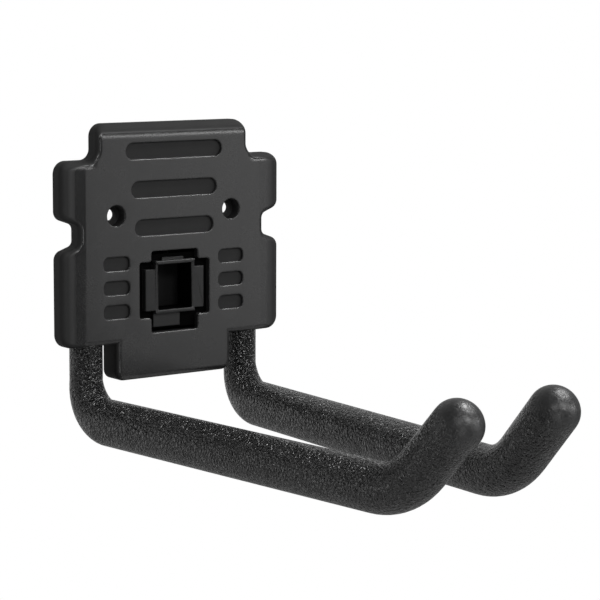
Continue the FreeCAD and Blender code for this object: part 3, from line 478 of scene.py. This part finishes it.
def make_lock():
    """The lock again: sides flush with the plate, and edges that catch light; its faces deeper
    than LOCK_DEEP get a near-black copy of its plastic as painted shade.
    """
    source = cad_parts["lock_slider"]
    shape = read_node(source)
    for level in (OPENING_TOP - CUT_INSIDE, OPENING_LOW + CUT_INSIDE):
        cut_through(shape, (0, 0, level * MM), (0, 0, 1))
    for vertex in shape.verts:
        y, z = vertex.co.y / MM, vertex.co.z / MM
        beside_opening = OPENING_LOW + FLAT_INSIDE < z < OPENING_TOP - FLAT_INSIDE
        if y < -PLATE_FRONT and beside_opening:
            vertex.co.y = -PLATE_FRONT * MM
    shape.normal_update()
    round_edges(shape, [edge for edge in shape.edges if outer_lock_edge(edge)],
                LOCK_ROUND, LOCK_SEGMENTS)
    shape.normal_update()
    # painted shade: faces deeper than LOCK_DEEP take the near-black copy of the plastic
    for face in shape.faces:
        face.material_index = int(face.calc_center_median().y / MM > -LOCK_DEEP)
    return finish_piece(shape, "lock_face", source, "lock")


def seen_directly(tree, depth, near, far):
    """1 for what the camera sees itself or through glass, and for what shines
    in a gloss from behind the object, where the white backdrop stands."""
    path = tree.nodes.new("ShaderNodeLightPath")
    behind = tree.nodes.new("ShaderNodeMapRange")
    tree.links.new(depth, behind.inputs["Value"])
    behind.inputs["From Min"].default_value = near
    behind.inputs["From Max"].default_value = far
    gloss = tree.nodes.new("ShaderNodeMath")
    gloss.operation = "MULTIPLY"
    tree.links.new(path.outputs["Is Glossy Ray"], gloss.inputs[0])
    tree.links.new(behind.outputs["Result"], gloss.inputs[1])
    seen = gloss.outputs[0]
    for name in ("Is Camera Ray", "Is Transmission Ray"):
        most = tree.nodes.new("ShaderNodeMath")
        most.operation = "MAXIMUM"
        tree.links.new(seen, most.inputs[0])
        tree.links.new(path.outputs[name], most.inputs[1])
        seen = most.outputs[0]
    return seen


def along_y(tree, vector):
    split = tree.nodes.new("ShaderNodeSeparateXYZ")
    tree.links.new(vector, split.inputs[0])
    return split.outputs["Y"]


def mix_shaders(tree, factor, first, second, target):
    mix = tree.nodes.new("ShaderNodeMixShader")
    tree.links.new(factor, mix.inputs[0])
    tree.links.new(first, mix.inputs[1])
    tree.links.new(second, mix.inputs[2])
    tree.links.new(mix.outputs[0], target)


def make_stage():
    """A pale floor far enough below for the object to hang free above it."""
    mesh = bpy.data.meshes.new("floor")
    corners = [(-FLOOR_HALF, -FLOOR_HALF, 0), (FLOOR_HALF, -FLOOR_HALF, 0),
               (FLOOR_HALF, FLOOR_HALF, 0), (-FLOOR_HALF, FLOOR_HALF, 0)]
    mesh.from_pydata(corners, [], [(0, 1, 2, 3)])
    floor = bpy.data.objects.new("floor", mesh)
    lowest = cad_box[0][2]
    floor.location = (0, 0, lowest - FLOOR_DROP)
    bpy.context.scene.collection.objects.link(floor)
    material = bpy.data.materials.new("floor white")
    material.use_nodes = True
    tree = material.node_tree
    shader = tree.nodes["Principled BSDF"]
    shader.inputs["Base Color"].default_value = (FLOOR_TONE, FLOOR_TONE, FLOOR_TONE, 1)
    shader.inputs["Roughness"].default_value = 0.9
    glow = tree.nodes.new("ShaderNodeEmission")
    glow.inputs["Strength"].default_value = 1.0
    place = tree.nodes.new("ShaderNodeNewGeometry").outputs["Position"]
    seen = seen_directly(tree, along_y(tree, place), 0.6, 2.5)
    mix_shaders(tree, seen, shader.outputs[0], glow.outputs[0],
                tree.nodes["Material Output"].inputs["Surface"])
    mesh.materials.append(material)


def make_world():
    """Soft even light, and plain white where the camera looks past the object."""
    world = bpy.data.worlds.new("world")
    bpy.context.scene.world = world
    world.use_nodes = True
    tree = world.node_tree
    tree.nodes.clear()
    soft = tree.nodes.new("ShaderNodeBackground")
    soft.inputs["Color"].default_value = (1, 1, 1, 1)
    soft.inputs["Strength"].default_value = WORLD_LIGHT
    white = tree.nodes.new("ShaderNodeBackground")
    white.inputs["Color"].default_value = (1, 1, 1, 1)
    white.inputs["Strength"].default_value = 1.0
    out = tree.nodes.new("ShaderNodeOutputWorld")
    way = tree.nodes.new("ShaderNodeTexCoord").outputs["Generated"]
    seen = seen_directly(tree, along_y(tree, way), 0.1, 1.3)
    mix_shaders(tree, seen, soft.outputs[0], white.outputs[0], out.inputs[0])


def add_lamp(name, place, power, width, height):
    data = bpy.data.lights.new(name, "AREA")
    data.shape = "RECTANGLE"
    data.size = width
    data.size_y = height
    data.energy = power
    lamp = bpy.data.objects.new(name, data)
    lamp.location = place
    lamp.rotation_euler = (LAMP_AIM - Vector(place)).to_track_quat("-Z", "Y").to_euler()
    bpy.context.scene.collection.objects.link(lamp)


bpy.context.scene.view_settings.view_transform = "Standard"
make_camera()
make_world()
make_stage()
for lamp_settings in LAMPS:
    add_lamp(*lamp_settings)
dress_all(make_cover(), make_lock())
